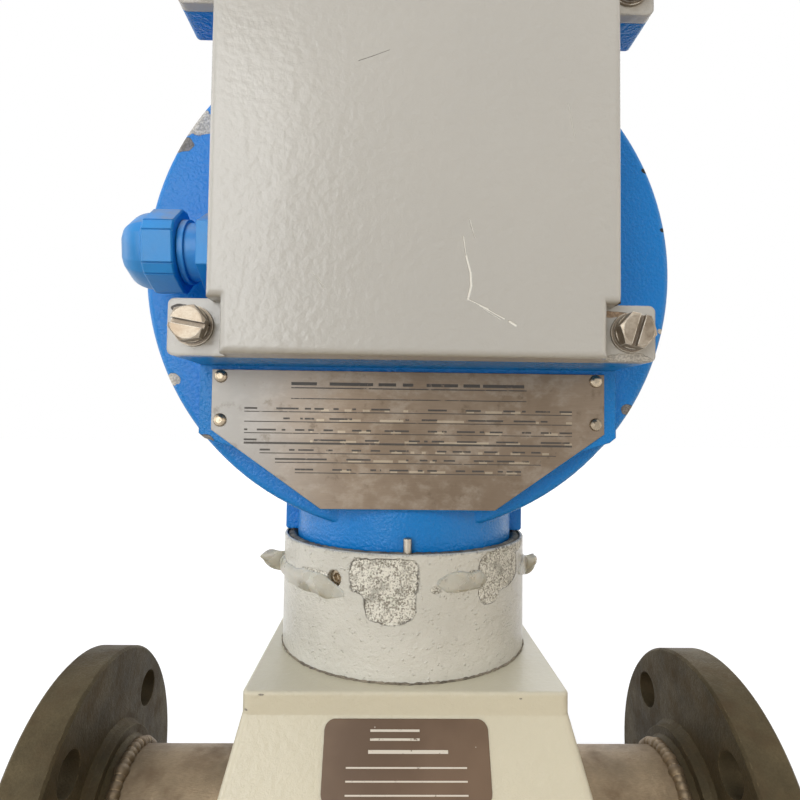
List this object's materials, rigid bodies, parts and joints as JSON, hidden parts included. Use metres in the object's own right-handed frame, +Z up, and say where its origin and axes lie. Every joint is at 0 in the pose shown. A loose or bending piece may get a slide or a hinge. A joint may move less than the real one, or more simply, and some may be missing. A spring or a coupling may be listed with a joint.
{
  "type": "electromagnetic flow meter",
  "caption": "Flanged inline electromagnetic flow meter: lined measuring tube, cast sensor housing and swivelling round converter head with a front terminal box, cable gland and covers.",
  "frame": {"origin": "on the measuring tube's axis, halfway between the two flange faces", "axes": "+X along the pipe in the direction of flow, -Y out of the front of the terminal box, +Z up through the converter head"},
  "size_m": [0.28, 0.1655, 0.3815],
  "materials": {
    "bare_steel": "rough, rust-stained",
    "tube_steel": "brown-stained",
    "stainless": "brushed",
    "zinc_steel": "satin",
    "ptfe": "satin",
    "blue_enamel": "semi-gloss, fine orange peel",
    "grey_enamel": "semi-gloss",
    "cream_enamel": "textured",
    "rubber": "matt",
    "copper": "lacquered winding",
    "magnet_steel": "dull",
    "label_brown": "satin",
    "aluminium_plate": "dull",
    "circuit_board": "lacquered",
    "terminal_plastic": "matt",
    "blue_polyamide": "satin",
    "potting": "matt"
  },
  "bodies": {
    "meter_body": {"measuring_tube": "tube_steel", "tube_liner": "ptfe", "inlet_flange": "bare_steel", "outlet_flange": "bare_steel", "electrodes": "stainless", "electrode_bushes": "ptfe", "electrode_nuts": "stainless", "pole_shoe_upper": "magnet_steel", "pole_shoe_lower": "magnet_steel", "field_coil_upper": "copper", "field_coil_lower": "copper", "magnet_yoke": "magnet_steel", "housing_upper": "grey_enamel", "housing_lower": "grey_enamel", "housing_gasket": "rubber", "housing_bolts": "zinc_steel", "housing_nuts": "zinc_steel", "sensor_label": "label_brown", "swivel_collar": "cream_enamel", "collar_bolts": "zinc_steel", "collar_set_screws": "zinc_steel", "neck_seal": "rubber", "stop_pin": "stainless"},
    "converter_head": {"head_housing": "blue_enamel", "lead_plug": "potting", "lead_bush": "potting", "nameplate": "stainless", "nameplate_rivets": "zinc_steel", "cover_gasket": "rubber", "module_carrier": "aluminium_plate", "carrier_screws": "zinc_steel", "main_board": "circuit_board", "power_board": "circuit_board", "board_spacers": "aluminium_plate", "board_screws": "zinc_steel", "transformer": "potting", "terminal_strip_upper": "terminal_plastic", "terminal_strip_lower": "terminal_plastic", "terminal_screws": "zinc_steel", "earth_screw": "zinc_steel", "gland_seal_ring": "rubber", "gland_body": "blue_polyamide", "gland_seal": "rubber"},
    "terminal_lid": {"terminal_cover": "grey_enamel", "cover_screws": "zinc_steel", "cover_washers": "zinc_steel"},
    "rear_seal_ring": {"rear_seal": "rubber"},
    "rear_lid": {"rear_cover": "blue_enamel"},
    "gland_thrust_ring": {"gland_washer": "terminal_plastic"},
    "gland_cap": {"gland_nut": "blue_polyamide"}
  },
  "joints": [
    {"name": "head_swivel", "type": "hinge", "parent": "meter_body", "child": "converter_head", "pos_m": [0, 0, 0.1], "axis": [0, 0, 1], "range_deg": [-83, 83]},
    {"name": "cover_lift", "type": "slide", "parent": "converter_head", "child": "terminal_lid", "axis": [0, -1, 0], "range_m": [0, 0.05]},
    {"name": "rear_advance", "type": "slide", "parent": "converter_head", "child": "rear_seal_ring", "axis": [0, 1, 0], "range_m": [0, 0.01]},
    {"name": "rear_turn", "type": "hinge", "parent": "rear_seal_ring", "child": "rear_lid", "pos_m": [0, 0.05, 0.22], "axis": [0, 1, 0], "range_deg": [0, 1800]},
    {"name": "gland_advance", "type": "slide", "parent": "converter_head", "child": "gland_thrust_ring", "axis": [-1, 0, 0], "range_m": [0, 0.006]},
    {"name": "gland_turn", "type": "hinge", "parent": "gland_thrust_ring", "child": "gland_cap", "pos_m": [-0.08, -0.057, 0.219], "axis": [-1, 0, 0], "range_deg": [0, 1440]}
  ],
  "couplings": [
    {"joint": "rear_advance", "follows": "rear_turn", "m_per_rad": 0.00031831},
    {"joint": "gland_turn", "follows": "gland_advance", "rad_per_m": 4188.8}
  ]
}
